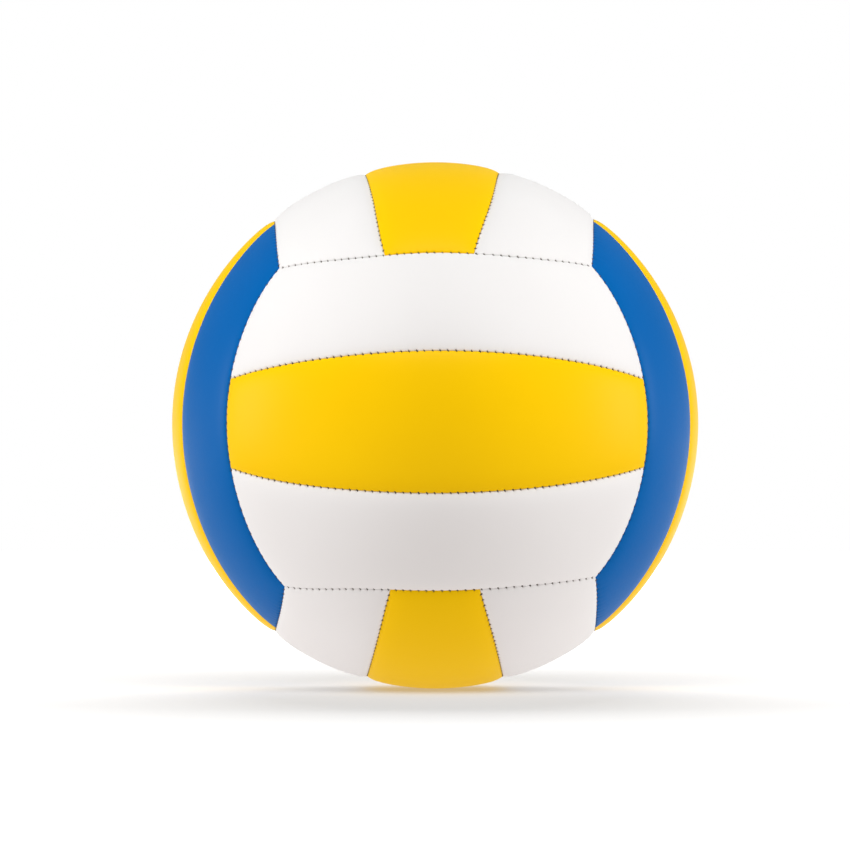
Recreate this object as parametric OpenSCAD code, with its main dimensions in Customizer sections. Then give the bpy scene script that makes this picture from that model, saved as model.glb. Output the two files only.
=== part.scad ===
// An 18-panel sewn volleyball.
// The origin is the centre of the ball, +Z is up, and the front face looks along -Y.
// The ball is divided like a cube with six faces. Each face has three strips: a middle strip and two
// side strips. The strips of neighbouring faces run at right angles, so the long side of one face
// meets the strip ends of the next. Every seam is an arc of a circle.

/* [Ball] */
// Diameter over the crowns of the panels
ball_d = 210; // [207:0.5:213]

/* [Panel pattern] */
// Half angle of a middle strip at its widest, seen from the centre of the ball
strip_angle = 15.2; // [13:0.1:17]
// Half angle across the three strips of a face, seen from the centre of the ball
face_angle = 37.9; // [36:0.1:40]

/* [Cover] */
// Thickness of the PVC skin
skin_t = 0.8; // [0.7:0.05:0.9]
// Thickness of the sponge foam under the skin
foam_t = 1.8; // [1.8:0.1:2.6]
// Thickness of the lining cloth on the back of the foam
lining_t = 0.4; // [0.2:0.05:0.4]
// Thickness of a film of glue between two layers
glue_t = 0.05; // [0.02:0.01:0.08]
// Gap between the walls of two panels along a seam
seam_gap = 0.2; // [0.1:0.05:0.4]
// Radius of the shoulder where a panel rolls down into its seam
shoulder_r = 2.2; // [1.8:0.1:2.3]
// Radius of the heel where the skin turns under the foam
heel_r = 0.9; // [0.6:0.05:1.1]
// How far a crown or wall stops short of running smoothly into its shoulder
shoulder_crease = 0.05; // [0.03:0.01:0.08]
// Width of the hem that is turned under the foam, measured from the seam
hem_w = 3.6; // [3:0.1:5]

/* [Stitching] */
// Diameter of the sewing thread
thread_d = 0.5; // [0.3:0.05:0.6]
// Play between the thread and the shoulders that it lies on
thread_play = 0.02; // [0.01:0.01:0.05]
// Free length left at the ends of a row of stitches, where seams meet
thread_end = 0.6; // [0.4:0.1:1.5]

/* [Bladder] */
// Wall thickness of the rubber bladder
bladder_t = 0.6; // [0.4:0.1:1.2]
// Play between the bladder and the back of the cover
bladder_play = 0.05; // [0.04:0.01:0.2]

/* [Valve] */
// Diameter of the valve stem that shows in the cover
stem_d = 8; // [7:0.1:9]
// Play around the stem in the hole of the cover
stem_play = 0.15; // [0.1:0.05:0.3]
// Depth of the stem's face below the crown
stem_recess = 0.3; // [0.2:0.1:0.6]
// Diameter of the valve flange that is bonded inside the bladder
flange_d = 26; // [20:1:32]
// Thickness of the valve flange
flange_t = 1.2; // [0.8:0.1:1.6]
// Diameter of the boss that holds the valve core
boss_d = 9; // [8.5:0.1:10]
// Depth of the boss below the inner wall of the bladder
boss_l = 9; // [7:0.5:10]
// Diameter of the hole for the inflation needle
needle_d = 2.2; // [2:0.1:2.4]
// Length of the needle hole from the stem's face to the valve core
needle_guide = 3.2; // [2.6:0.1:3.6]
// Width of the bevel round the mouth of the needle hole
needle_bevel = 0.4; // [0.2:0.1:0.6]
// Diameter of the valve core
core_d = 5; // [4.4:0.1:5.6]
// Squeeze play between the core and its pocket
core_play = 0.03; // [0.02:0.01:0.06]
// Depth of the collar that keeps the core in its pocket
collar_t = 1; // [0.8:0.1:1.4]
// Distance that the collar stands out past the core
collar_w = 0.8; // [0.5:0.1:1]
// Width of the slit in the core that the needle opens
slit_w = 3; // [2.4:0.1:3.6]
// Opening of the slit at rest
slit_gap = 0.15; // [0.1:0.05:0.25]
// Diameter of the cloth patch between the bladder and the lining
patch_d = 34; // [28:1:40]

/* [Hidden] */
$fn = 180;
// Overrun of a cut past the surface that it cuts
overrun = 1;

// Radii of the layers, from the crown inwards
crown_r = ball_d / 2;
foam_top_r = crown_r - skin_t - glue_t;
foam_back_r = foam_top_r - foam_t;
cover_back_r = foam_back_r - glue_t - skin_t;
lining_back_r = foam_back_r - glue_t - lining_t;
bladder_r = cover_back_r - bladder_play;
bladder_bore_r = bladder_r - bladder_t;

// The arc between two faces lies on a cone with its tip at the centre of the ball. The cone's axis
// leans by edge_lean from the across direction of the face, and edge_cone is its half angle.
// corner_share is the share of each axis in the direction of a cube corner.
corner_share = 1 / sqrt(3);
edge_lean = atan2(sin(face_angle) - corner_share, cos(face_angle) - corner_share);
edge_cone = acos(corner_share * (cos(edge_lean) - sin(edge_lean)));
// A strip seam lies in a plane through the centre of the ball
strip_cone = 90;
// The walls along a face edge lie on a sphere about a point on the cone's axis, square to the crown
edge_wall_h = crown_r / cos(edge_cone);
edge_wall_r = crown_r * tan(edge_cone);
// Size of the flat figures that the limits of a panel are turned from, past all of these walls
reach = edge_wall_h + edge_wall_r + overrun;

// Half spans of the two kinds of seam, as turns about their own axes
strip_end_across = cos(edge_lean) * cos(strip_angle);
strip_end_along = sin(edge_lean);
strip_half_span = acos(cos(edge_cone) / norm([strip_end_across, strip_end_along]))
    - atan2(strip_end_along, strip_end_across);
edge_half_span = acos((corner_share * (sin(face_angle) + cos(face_angle)) - pow(cos(edge_cone), 2))
    / pow(sin(edge_cone), 2));

// The thread lies in the groove, where it touches both shoulders
shoulder_in = seam_gap / 2 + shoulder_r - shoulder_crease;
shoulder_depth_r = crown_r - shoulder_r + shoulder_crease;
thread_seat = shoulder_r + thread_d / 2 + thread_play;
thread_r = shoulder_depth_r + sqrt(pow(thread_seat, 2) - pow(shoulder_in, 2));

// Heights of the valve's steps along its axis
stem_top = crown_r - stem_recess;
core_top = stem_top - needle_guide;
boss_back = bladder_bore_r - boss_l;

// Faces of the ball: name, turn that takes +Z to the face and +X to its strips, names of the strips
FACES = [
    ["front", [90, 0, 0], ["lower", "middle", "upper"]],
    ["back", [-90, 0, 0], ["upper", "middle", "lower"]],
    ["top", [0, 0, 90], ["right", "middle", "left"]],
    ["bottom", [180, 0, 90], ["left", "middle", "right"]],
    ["left", [0, -90, 0], ["front", "middle", "back"]],
    ["right", [0, 90, 0], ["front", "middle", "back"]]
];
STRIPS = [-1, 0, 1];
LAYERS = ["panel", "foam", "lining"];
// The valve sits in the middle strip of this face
valve_face = FACES[1];

function layer_node(face, strip, layer) = str(face[0], "_", face[2][strip + 1], "_", layer);
PANEL_NODES = [for (layer = LAYERS, face = FACES, strip = STRIPS) layer_node(face, strip, layer)];

WHITE = [0.94, 0.93, 0.92];
YELLOW = [0.98, 0.79, 0.02];
BLUE = [0.03, 0.35, 0.68];
THREAD = [0.85, 0.84, 0.8];
FOAM = [0.88, 0.87, 0.8];
CLOTH = [0.8, 0.8, 0.78];
BLADDER_RUBBER = [0.16, 0.16, 0.17];
VALVE_RUBBER = [0.1, 0.1, 0.1];
CORE_RUBBER = [0.75, 0.2, 0.15];

// Colour of a panel: the middle strips are yellow, and the side strips white or blue
function panel_colour(face, strip) =
    strip == 0 ? YELLOW : face[0] == "left" || face[0] == "right" ? BLUE : WHITE;

// Centre of a round beside a seam's wall, in the flat section: from_centre is its distance from the
// centre of the ball, and from_wall its distance from the wall.
function round_centre(is_edge, keep, from_centre, from_wall) =
    let (
        from_tip = edge_wall_r - keep * from_wall,
        edge_y = (pow(from_centre, 2) - pow(from_tip, 2) + pow(edge_wall_h, 2)) / (2 * edge_wall_h),
        y = is_edge ? edge_y : keep * from_wall
    ) [sqrt(pow(from_centre, 2) - pow(y, 2)), y];

// The waste outside a round of radius r, whose centre is at the origin and whose corner is at +X, -Y
module corner_waste(r) {
    difference() {
        translate([0, -2 * r]) square(2 * r);
        circle(r);
    }
}

// Waste of the round between a sphere and a seam's wall. out is 1 for the crown and -1 for the back.
module round_waste(is_edge, keep, out, ball_r, r, inset) {
    poke = r - shoulder_crease;
    centre = round_centre(is_edge, keep, ball_r - out * poke, inset + poke);
    translate(centre) rotate(atan2(centre[1], centre[0])) scale([out, keep]) corner_waste(r);
}

// The flat section on one side of a seam's wall.
// keep is 1 for the side towards the seam's axis and -1 for the other side.
module wall_section(is_edge, keep, inset) {
    if (!is_edge)
        translate([0, keep > 0 ? inset : -inset - reach]) square(reach);
    else if (keep > 0)
        intersection() {
            translate([0, edge_wall_h]) circle(edge_wall_r - inset);
            square(reach);
        }
    else
        difference() {
            translate([0, -reach]) square([reach, 2 * reach]);
            translate([0, edge_wall_h]) circle(edge_wall_r + inset);
        }
}

// The same section with the crown edge and the back edge rounded
module seam_section(is_edge, keep, outer_r, inner_r, inset, shoulder, heel) {
    difference() {
        wall_section(is_edge, keep, inset);
        if (shoulder > 0)
            round_waste(is_edge, keep, 1, outer_r, shoulder, inset);
        if (heel > 0)
            round_waste(is_edge, keep, -1, inner_r, heel, inset);
    }
}

// Everything on one side of a seam between two strips of a face
module beside_strip_seam(keep, outer_r, inner_r, inset, shoulder, heel) {
    rotate([-90 - strip_angle, 0, 0]) rotate_extrude()
        seam_section(false, keep, outer_r, inner_r, inset, shoulder, heel);
}

// Everything on a face's side of its long edge
module inside_long_edge(outer_r, inner_r, inset, shoulder, heel) {
    rotate([-90 - edge_lean, 0, 0]) rotate_extrude()
        seam_section(true, -1, outer_r, inner_r, inset, shoulder, heel);
}

// Everything on a face's side of the edge at one end of its strips
module inside_end_edge(end, outer_r, inner_r, inset, shoulder, heel) {
    rotate([0, 0, end < 0 ? 180 : 0]) rotate([0, -edge_lean, 0]) rotate([0, 0, 180]) rotate_extrude()
        seam_section(true, 1, outer_r, inner_r, inset, shoulder, heel);
}

// A strip of the face that looks along +Z, between two radii and set in from its seams.
// A side strip lies on the +Y side.
module strip_blank(is_middle, outer_r, inner_r, inset, shoulder = 0, heel = 0) {
    intersection() {
        rotate([0, 90, 0]) difference() {
            sphere(outer_r);
            sphere(inner_r);
        }
        inside_end_edge(1, outer_r, inner_r, inset, shoulder, heel);
        inside_end_edge(-1, outer_r, inner_r, inset, shoulder, heel);
        beside_strip_seam(is_middle ? -1 : 1, outer_r, inner_r, inset, shoulder, heel);
        if (is_middle)
            rotate([0, 0, 180]) beside_strip_seam(-1, outer_r, inner_r, inset, shoulder, heel);
        else
            inside_long_edge(outer_r, inner_r, inset, shoulder, heel);
    }
}

// Puts a strip of the +Z face where it belongs on the ball
module on_ball(face, strip) {
    rotate(face[1]) rotate([0, 0, strip < 0 ? 180 : 0]) children();
}

// The round hole through the cover for the valve stem, in a strip of the +Z face
module stem_hole(r, from_r) {
    translate([0, 0, from_r]) cylinder(r = r, h = crown_r + overrun - from_r);
}

// PVC skin of a strip, rolled over its edges and hemmed under the foam
module skin_shell(is_middle) {
    difference() {
        strip_blank(is_middle, crown_r, cover_back_r, seam_gap / 2, shoulder_r, heel_r);
        strip_blank(is_middle, crown_r - skin_t, cover_back_r + skin_t, seam_gap / 2 + skin_t,
            shoulder_r - skin_t);
        strip_blank(is_middle, cover_back_r + skin_t + glue_t, cover_back_r - overrun, hem_w);
    }
}

// Sponge foam inside the skin of a strip
module foam_pad(is_middle) {
    foam_inset = seam_gap / 2 + skin_t + glue_t;
    strip_blank(is_middle, foam_top_r, foam_back_r, foam_inset, shoulder_r - skin_t - glue_t);
}

// Lining cloth on the back of the foam, inside the hem
module lining_cloth(is_middle) {
    strip_blank(is_middle, foam_back_r - glue_t, lining_back_r, hem_w + glue_t);
}

// One layer of one strip, with the hole for the valve if it is the valve's strip
module strip_layer(face, strip, layer) {
    has_valve = face == valve_face && strip == 0;
    difference() {
        if (layer == "panel")
            color(panel_colour(face, strip)) skin_shell(strip == 0);
        else if (layer == "foam")
            color(FOAM) foam_pad(strip == 0);
        else
            color(CLOTH) lining_cloth(strip == 0);
        if (has_valve)
            stem_hole(stem_d / 2 + stem_play, cover_back_r - overrun);
    }
}

// A row of thread along a seam, turned about the seam's axis
module thread_row(cone, half_span) {
    row_r = thread_r * sin(cone);
    span = half_span - thread_end / row_r * 180 / PI;
    rotate([0, 0, -90 - span]) rotate_extrude(angle = 2 * span)
        translate([row_r, thread_r * cos(cone)]) circle(thread_d / 2);
}

// Thread in the two strip seams of every face
module strip_seam_threads() {
    color(THREAD)
        for (face = FACES, side = [0, 180])
            rotate(face[1]) rotate([0, 0, side]) rotate([-90 - strip_angle, 0, 0])
                thread_row(strip_cone, strip_half_span);
}

// Thread in the two long edges of every face, which are all twelve edges of the cube
module face_seam_threads() {
    color(THREAD)
        for (face = FACES, side = [0, 180])
            rotate(face[1]) rotate([0, 0, side]) rotate([-90 - edge_lean, 0, 0])
                thread_row(edge_cone, edge_half_span);
}

// Rubber bladder with the hole that the valve is bonded into
module bladder() {
    color(BLADDER_RUBBER) rotate(valve_face[1]) difference() {
        sphere(bladder_r);
        sphere(bladder_bore_r);
        stem_hole(stem_d / 2 + glue_t, bladder_bore_r - overrun);
    }
}

// Section of the valve body, for turning about the valve's axis
module valve_body_section() {
    difference() {
        union() {
            translate([0, boss_back])
                square([boss_d / 2, bladder_bore_r - flange_t / 2 - boss_back]);
            translate([0, bladder_bore_r - flange_t])
                square([stem_d / 2, stem_top - bladder_bore_r + flange_t]);
            intersection() {
                difference() {
                    circle(bladder_bore_r - glue_t);
                    circle(bladder_bore_r - glue_t - flange_t);
                }
                square([flange_d / 2, crown_r]);
            }
        }
        translate([-overrun, boss_back - overrun])
            square([core_d / 2 + overrun, core_top - boss_back + overrun]);
        translate([-overrun, 0])
            square([needle_d / 2 + overrun, crown_r]);
        polygon([
            [0, stem_top - needle_bevel - needle_d / 2],
            [needle_d / 2 + needle_bevel + overrun, stem_top + overrun],
            [0, stem_top + overrun]
        ]);
    }
}

// Rubber valve: a stem that shows in the cover, a flange on the bladder and a boss for the core
module valve_body() {
    color(VALVE_RUBBER) rotate(valve_face[1]) rotate_extrude() valve_body_section();
}

// Soft rubber core with a slit that closes by itself, held by its collar under the boss
module valve_core() {
    core_r = core_d / 2 - core_play;
    color(CORE_RUBBER) rotate(valve_face[1]) difference() {
        union() {
            translate([0, 0, boss_back - core_play])
                cylinder(r = core_r, h = core_top - boss_back);
            translate([0, 0, boss_back - core_play - collar_t])
                cylinder(r = core_r + collar_w, h = collar_t);
        }
        translate([0, 0, core_top - core_play - needle_d / 2])
            cylinder(r1 = 0, r2 = needle_d / 2 + overrun, h = needle_d / 2 + overrun);
        translate([-slit_w / 2, -slit_gap / 2, boss_back - collar_t - overrun])
            cube([slit_w, slit_gap, core_top - boss_back + collar_t + overrun]);
    }
}

// Cloth patch that ties the bladder to the lining round the valve
module valve_patch() {
    color(CLOTH) rotate(valve_face[1]) intersection() {
        difference() {
            sphere(lining_back_r - glue_t);
            sphere(bladder_r + glue_t);
            stem_hole(stem_d / 2 + stem_play, bladder_bore_r);
        }
        cylinder(d = patch_d, h = crown_r);
    }
}

for (layer = LAYERS, face = FACES, strip = STRIPS)
    on_ball(face, strip) strip_layer(face, strip, layer);
strip_seam_threads();
face_seam_threads();
bladder();
valve_body();
valve_core();
valve_patch();
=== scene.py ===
"""Dresses a sewn 18-panel volleyball: its padded panels, stitches, foam, lining, bladder and valve.

The ball is divided like a cube with six faces. Each face has three strips, a middle strip between
two side strips, and the strips of neighbouring faces run at right angles. A panel is worked out on
the face that looks along +Z, with its strips along X, and is then turned to its place on the ball.
Lengths are in metres and the origin is the centre of the ball.
"""

import logging
import math
from dataclasses import dataclass
from enum import Enum
from typing import Any

import bmesh
import bpy
import numpy as np
from mathutils import Euler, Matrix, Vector


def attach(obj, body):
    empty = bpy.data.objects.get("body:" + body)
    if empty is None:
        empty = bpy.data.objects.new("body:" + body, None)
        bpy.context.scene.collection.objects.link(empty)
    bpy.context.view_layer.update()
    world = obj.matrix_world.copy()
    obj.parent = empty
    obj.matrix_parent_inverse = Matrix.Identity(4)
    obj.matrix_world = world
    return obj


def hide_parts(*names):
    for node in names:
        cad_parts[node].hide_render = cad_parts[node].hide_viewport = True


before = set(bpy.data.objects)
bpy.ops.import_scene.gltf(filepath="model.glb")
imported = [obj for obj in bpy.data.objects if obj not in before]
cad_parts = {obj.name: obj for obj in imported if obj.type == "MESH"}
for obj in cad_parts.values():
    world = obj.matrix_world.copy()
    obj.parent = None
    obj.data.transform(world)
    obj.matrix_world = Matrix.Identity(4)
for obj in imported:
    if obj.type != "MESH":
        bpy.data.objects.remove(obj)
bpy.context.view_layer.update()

LOG = logging.getLogger("volleyball")
MM = 0.001
BALL_R = 105 * MM
BODY = "root"
Socket = bpy.types.NodeSocket
Inputs = dict[str | int, Any]


class Strip(Enum):
    """The two kinds of strip on a face of the ball."""

    MIDDLE = "middle"
    SIDE = "side"


class Detail(Enum):
    """How many columns a loop round a panel keeps, as the step between the columns it takes."""

    FINE = 1
    HALF = 2
    QUARTER = 4


class Layer(Enum):
    """The layers of one strip, named as the nodes of the model name them."""

    PANEL = "panel"
    FOAM = "foam"
    LINING = "lining"


# Colour and node helpers


def linear_rgba(colour: str) -> tuple[float, float, float, float]:
    """Turns an sRGB hex colour into the linear colour that a shader takes.

    Args:
        colour: Six hex digits after a hash sign.

    Returns:
        Red, green, blue and an alpha of 1.
    """
    parts = [int(colour[i:i + 2], 16) / 255 for i in (1, 3, 5)]
    linear = [p / 12.92 if p <= 0.04045 else ((p + 0.055) / 1.055) ** 2.4 for p in parts]
    return (linear[0], linear[1], linear[2], 1.0)


def add_node(
    tree: bpy.types.NodeTree, kind: str, inputs: Inputs | None = None, **settings: Any
) -> bpy.types.Node:
    """Adds a node, sets its own settings, and fills or links its inputs.

    Args:
        tree: The node tree that takes the node.
        kind: The node's type, such as ShaderNodeBump.
        inputs: A value or an output socket for each input, by its name or number.
        **settings: Attributes of the node itself, such as operation.

    Returns:
        The new node.
    """
    node = tree.nodes.new(kind)
    for name, value in settings.items():
        setattr(node, name, value)
    for name, value in (inputs or {}).items():
        if isinstance(value, Socket):
            tree.links.new(value, node.inputs[name])
        else:
            node.inputs[name].default_value = value
    return node


def empty_material(name: str) -> tuple[bpy.types.Material, bpy.types.NodeTree, bpy.types.Node]:
    """Makes a material that holds only its output node.

    Args:
        name: The material's name.

    Returns:
        The material, its node tree and its output node.
    """
    material = bpy.data.materials.new(name)
    material.use_nodes = True
    material.node_tree.nodes.clear()
    return material, material.node_tree, add_node(material.node_tree, "ShaderNodeOutputMaterial")


def varied_colour(
    tree: bpy.types.NodeTree, place: Socket, low: str, high: str, patch: float, octaves: float = 3.0
) -> Socket:
    """Mixes two near colours by slow noise, as cloth and leather vary from place to place.

    Args:
        tree: The node tree.
        place: Coordinates in metres.
        low: The darker colour, as hex.
        high: The lighter colour, as hex.
        patch: The size of a patch in metres.
        octaves: How many finer patterns break up the edges of the patches.

    Returns:
        The colour's output socket.
    """
    noise = add_node(tree, "ShaderNodeTexNoise", {"Vector": place, "Scale": 1 / patch, "Detail": octaves})
    mix = add_node(
        tree, "ShaderNodeMix",
        {"Factor": noise.outputs["Fac"], "A": linear_rgba(low), "B": linear_rgba(high)},
        data_type="RGBA",
    )
    return mix.outputs["Result"]


def ray_kinds(tree: bpy.types.NodeTree) -> tuple[Socket, Socket]:
    """Tells the rays of the camera, and those that come by way of a mirror or through glass.

    Args:
        tree: The node tree.

    Returns:
        A socket that is 1 for a camera ray, and one that is 1 for a mirrored or refracted ray.
    """
    path = add_node(tree, "ShaderNodeLightPath")
    mirrored = add_node(
        tree, "ShaderNodeMath",
        {0: path.outputs["Is Glossy Ray"], 1: path.outputs["Is Transmission Ray"]}, operation="ADD",
    )
    return path.outputs["Is Camera Ray"], mirrored.outputs[0]


# Finishes


@dataclass(frozen=True, kw_only=True)
class Finish:
    """What all finishes share: two near colours, a roughness and a fine relief.

    The relief has a depth in metres, and a strength from 0 to 1 with which it turns the light.
    """

    name: str
    colour: str
    colour_low: str
    roughness: float
    relief: float
    relief_strength: float = 0.5

    def material(self) -> bpy.types.Material:
        """Builds the finish.

        Returns:
            The material, with its pattern on coordinates in metres.
        """
        material, tree, output = empty_material(self.name)
        place = add_node(tree, "ShaderNodeTexCoord").outputs["Object"]
        height, inputs = self._pattern(tree, place)
        bump = add_node(
            tree, "ShaderNodeBump",
            {"Height": height, "Distance": self.relief, "Strength": self.relief_strength},
        )
        shared = {"Roughness": self.roughness, "Normal": bump.outputs["Normal"]}
        shader = add_node(tree, "ShaderNodeBsdfPrincipled", shared | inputs)
        tree.links.new(shader.outputs[0], output.inputs["Surface"])
        return material

    def _pattern(self, tree: bpy.types.NodeTree, place: Socket) -> tuple[Socket, Inputs]:
        """Draws the pattern of the surface.

        Args:
            tree: The material's node tree.
            place: Coordinates in metres.

        Returns:
            The height of the relief, and the shader's own inputs with the colour among them.
        """
        raise NotImplementedError


@dataclass(frozen=True, kw_only=True)
class SeamedLeather(Finish):
    """Smooth PVC leather, calendered with a very fine grain.

    The eye gets an even, slightly satin colour with soft wide highlights. The grain only shows from
    near. Inside the stitch holes the leather is painted darker, as painted shade where the stitches
    pull it down into their holes.
    """

    # Painted shade: the darker colour that the leather takes inside the stitch holes.
    hole_shade_colour: str
    roughness: float = 0.42
    smoother: float = 0.04
    rougher: float = 0.05
    relief: float = 0.022 * MM
    relief_strength: float = 0.6
    ior: float = 1.5
    shine: float = 0.06
    grain: float = 0.55 * MM
    pore: float = 1.375 * MM
    pore_octaves: float = 4.0
    patch: float = 38 * MM

    def _pattern(self, tree: bpy.types.NodeTree, place: Socket) -> tuple[Socket, Inputs]:
        """Draws grain with pores, and paints shade on the leather inside the stitch holes.

        Args:
            tree: The material's node tree.
            place: Coordinates in metres.

        Returns:
            The height of the relief, and the shader's own inputs.
        """
        colour = varied_colour(tree, place, self.colour_low, self.colour, self.patch)
        # Painted shade: the stitch-hole mask mixes the leather towards its darker hole colour.
        hole = add_node(tree, "ShaderNodeAttribute", attribute_name=LeatherSkin.SHADE_NAME)
        colour_with_hole_shade = add_node(
            tree, "ShaderNodeMix",
            {"Factor": hole.outputs["Fac"], "A": colour, "B": linear_rgba(self.hole_shade_colour)},
            data_type="RGBA",
        )
        cells = add_node(
            tree, "ShaderNodeTexVoronoi", {"Vector": place, "Scale": 1 / self.grain}, feature="SMOOTH_F1"
        )
        pores = add_node(
            tree, "ShaderNodeTexNoise",
            {"Vector": place, "Scale": 1 / self.pore, "Detail": self.pore_octaves},
        ).outputs["Fac"]
        height = add_node(
            tree, "ShaderNodeMath", {0: cells.outputs["Distance"], 1: pores}, operation="ADD"
        )
        roughness = add_node(
            tree, "ShaderNodeMapRange",
            {
                "Value": pores,
                "To Min": self.roughness - self.smoother,
                "To Max": self.roughness + self.rougher,
            },
        )
        return height.outputs[0], {
            "Base Color": colour_with_hole_shade.outputs["Result"],
            "Roughness": roughness.outputs["Result"],
            "IOR": self.ior,
            "Specular IOR Level": self.shine,
        }


@dataclass(frozen=True, kw_only=True)
class SewingThread(Finish):
    """Twisted polyester thread, painted a dark brownish grey as painted shade of the needle holes it lies
    in.

    The eye gets small dull marks along the seams, with a faint glint where the strands turn.
    """

    name: str = "sewing_thread"
    # Painted shade: the thread is darkened to stand for the shadow in the needle holes.
    colour: str = "#564A40"
    colour_low: str = "#3C332C"
    roughness: float = 0.7
    relief: float = 0.036 * MM
    sheen: float = 0.2
    strand: float = 0.18 * MM
    patch: float = 0.36 * MM

    def _pattern(self, tree: bpy.types.NodeTree, place: Socket) -> tuple[Socket, Inputs]:
        """Draws the fibres of the strands.

        Args:
            tree: The material's node tree.
            place: Coordinates in metres.

        Returns:
            The height of the relief, and the shader's own inputs.
        """
        colour = varied_colour(tree, place, self.colour_low, self.colour, self.patch)
        fibres = add_node(tree, "ShaderNodeTexNoise", {"Vector": place, "Scale": 1 / self.strand})
        return fibres.outputs["Fac"], {"Base Color": colour, "Sheen Weight": self.sheen}


@dataclass(frozen=True, kw_only=True)
class Sponge(Finish):
    """Closed-cell sponge foam, cut from a block.

    The eye gets a matt cream face that is full of small cut cells.
    """

    name: str = "sponge_foam"
    colour: str = "#EDEAD9"
    colour_low: str = "#D9D5C0"
    roughness: float = 0.95
    relief: float = 0.15 * MM
    relief_strength: float = 0.8
    cell: float = 0.5 * MM

    def _pattern(self, tree: bpy.types.NodeTree, place: Socket) -> tuple[Socket, Inputs]:
        """Draws the cut cells, with painted shade that darkens the hollow of each cell.

        Args:
            tree: The material's node tree.
            place: Coordinates in metres.

        Returns:
            The height of the relief, and the shader's own inputs.
        """
        cells = add_node(tree, "ShaderNodeTexVoronoi", {"Vector": place, "Scale": 1 / self.cell})
        depth = cells.outputs["Distance"]
        # Painted shade: the colour darkens towards the bottom of each cell's hollow.
        colour = add_node(
            tree, "ShaderNodeMix",
            {"Factor": depth, "A": linear_rgba(self.colour_low), "B": linear_rgba(self.colour)},
            data_type="RGBA",
        )
        return depth, {"Base Color": colour.outputs["Result"]}


@dataclass(frozen=True, kw_only=True)
class LiningWeave(Finish):
    """Plain woven cloth of polyester and cotton.

    The eye gets threads that cross over and under. They are drawn coarser than the real pitch of
    the threads, so that they show.
    """

    name: str = "lining_cloth"
    colour: str = "#DDDCD6"
    colour_low: str = "#B9B8B1"
    roughness: float = 0.9
    relief: float = 0.12 * MM
    relief_strength: float = 0.7
    sheen: float = 0.3
    thread_pitch: float = 0.6 * MM
    coarser: float = 6.2832
    period_at_scale_one: float = math.pi / 10
    unevenness: float = 0.4

    def _pattern(self, tree: bpy.types.NodeTree, place: Socket) -> tuple[Socket, Inputs]:
        """Draws one wave for the warp and one for the weft, and a third for the curved ends. The low places
        of the weave are painted darker, as painted shade.

        Args:
            tree: The material's node tree.
            place: Coordinates in metres.

        Returns:
            The height of the relief, and the shader's own inputs.
        """
        scale = self.period_at_scale_one / (self.coarser * self.thread_pitch)
        warp, weft, upright = (
            add_node(
                tree, "ShaderNodeTexWave",
                {"Vector": place, "Scale": scale, "Distortion": self.unevenness}, bands_direction=axis,
            ).outputs["Fac"]
            for axis in ("X", "Y", "Z")
        )
        crossed = add_node(tree, "ShaderNodeMath", {0: warp, 1: weft}, operation="MULTIPLY")
        weave = add_node(tree, "ShaderNodeMath", {0: crossed.outputs[0], 1: upright}, operation="ADD")
        height = weave.outputs[0]
        # Painted shade: the cloth is darker where its weave lies low.
        colour = add_node(
            tree, "ShaderNodeMix",
            {"Factor": height, "A": linear_rgba(self.colour_low), "B": linear_rgba(self.colour)},
            data_type="RGBA",
        )
        return height, {"Base Color": colour.outputs["Result"], "Sheen Weight": self.sheen}


@dataclass(frozen=True, kw_only=True)
class MouldedRubber(Finish):
    """Rubber from a mould.

    The eye gets a faint mottle and the fine pitting that the mould leaves.
    """

    relief: float = 0.04 * MM
    unevenness: float = 0.08
    ior: float = 1.52
    pit: float = 0.5 * MM
    pit_octaves: float = 5.0
    mottle: float = 6 * MM

    def _pattern(self, tree: bpy.types.NodeTree, place: Socket) -> tuple[Socket, Inputs]:
        """Draws the pits, which also make the rubber more and less rough.

        Args:
            tree: The material's node tree.
            place: Coordinates in metres.

        Returns:
            The height of the relief, and the shader's own inputs.
        """
        colour = varied_colour(tree, place, self.colour_low, self.colour, self.mottle)
        pits = add_node(
            tree, "ShaderNodeTexNoise",
            {"Vector": place, "Scale": 1 / self.pit, "Detail": self.pit_octaves},
        ).outputs["Fac"]
        roughness = add_node(
            tree, "ShaderNodeMapRange",
            {
                "Value": pits,
                "To Min": self.roughness - self.unevenness,
                "To Max": self.roughness + self.unevenness,
            },
        )
        return pits, {
            "Base Color": colour, "Roughness": roughness.outputs["Result"], "IOR": self.ior
        }


# The pattern of seams


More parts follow.
